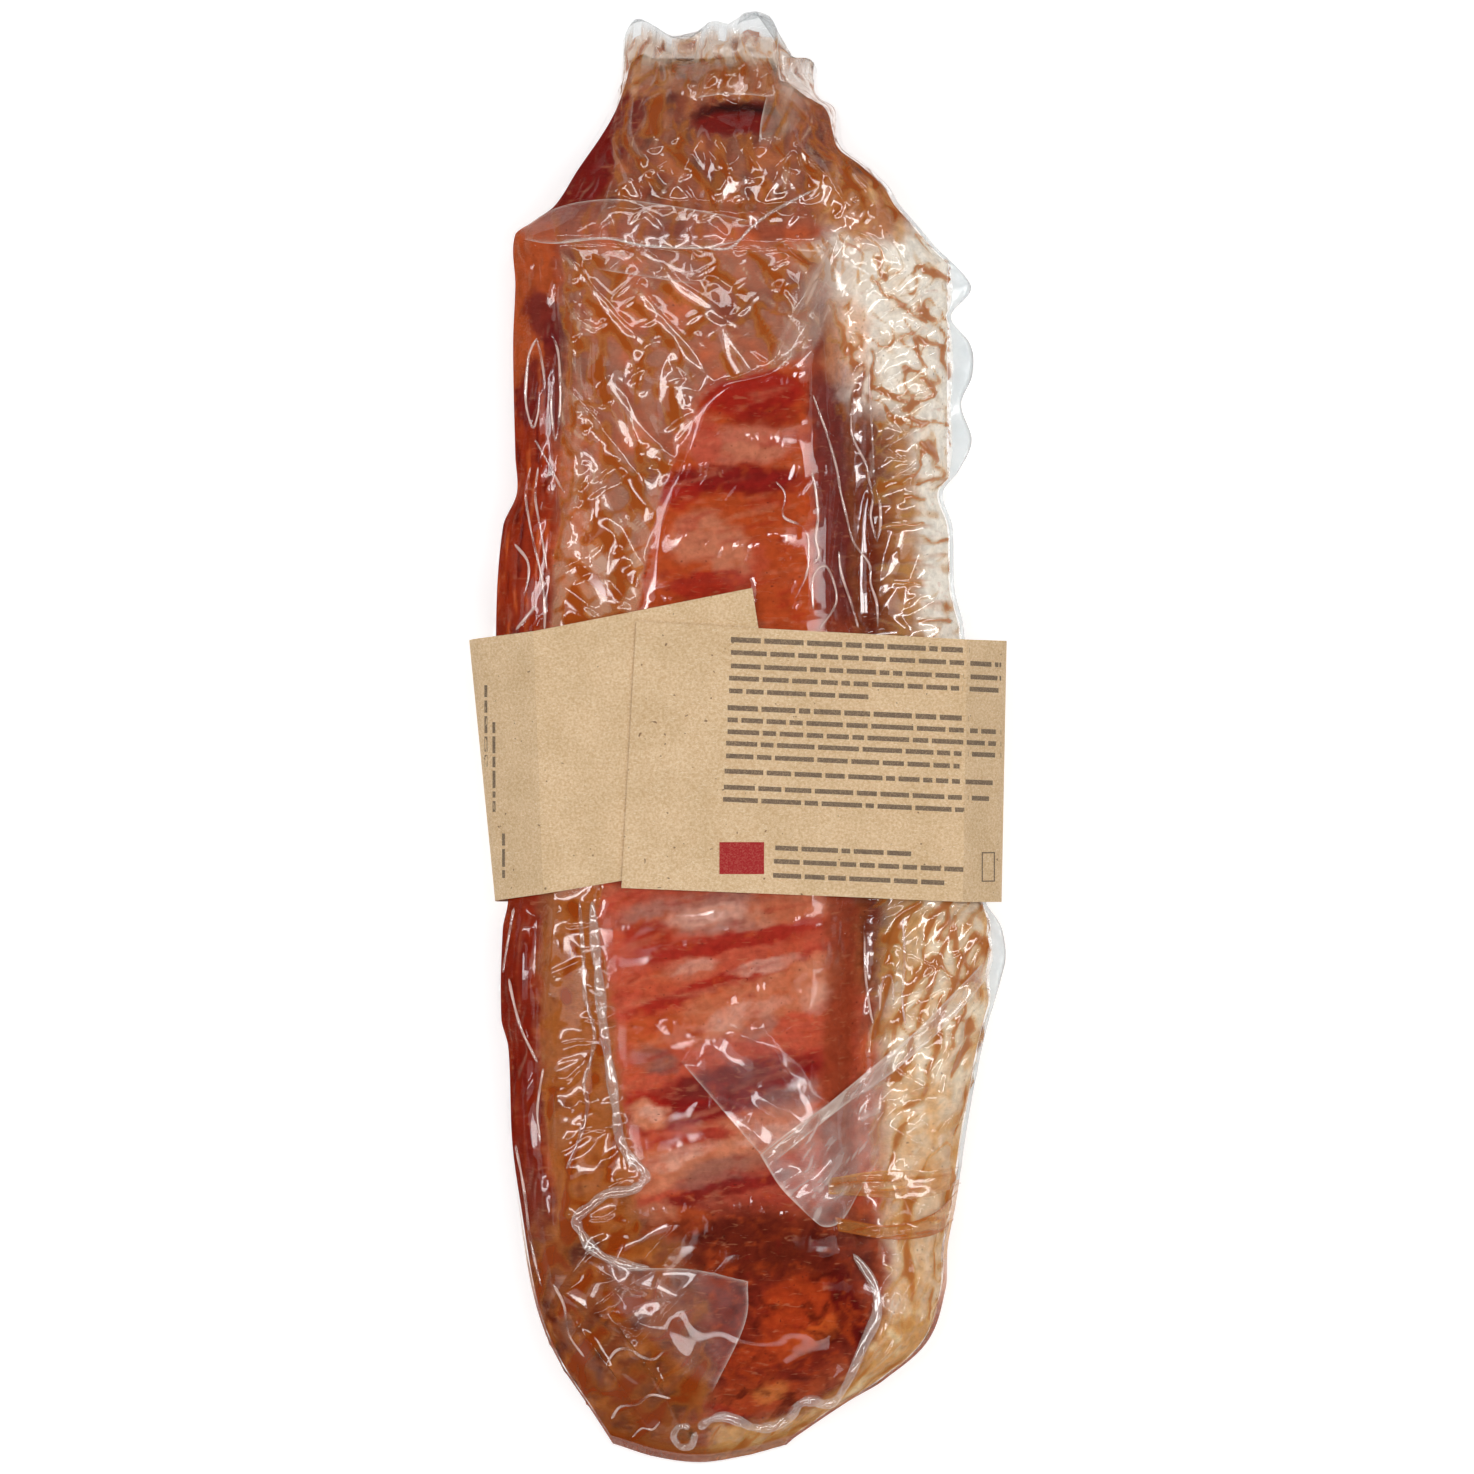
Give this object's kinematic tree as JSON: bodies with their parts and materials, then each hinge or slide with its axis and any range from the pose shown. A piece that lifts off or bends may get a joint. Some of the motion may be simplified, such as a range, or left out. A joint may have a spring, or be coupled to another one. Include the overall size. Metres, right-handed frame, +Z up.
{
  "type": "vacuum pack of marinated spareribs",
  "caption": "Sealed film bag shrunk round a marinated rack of spareribs, with folded film on its back and a plain kraft card sleeve round its middle.",
  "frame": {"origin": "on the table, under the middle of the pack's box", "axes": "+Z up from the table, +Y along the pack towards its gathered end, +X across it towards the film roll"},
  "size_m": [0.1452, 0.3939, 0.037],
  "materials": {
    "film_bag": "clear wrinkled film over red-brown marinated meat, very glossy",
    "kraft_card": "uncoated kraft card, matt, with fine fibres and specks"
  },
  "bodies": {
    "root": {"vacuum_bag": "film_bag", "card_sleeve": "kraft_card"}
  },
  "joints": []
}
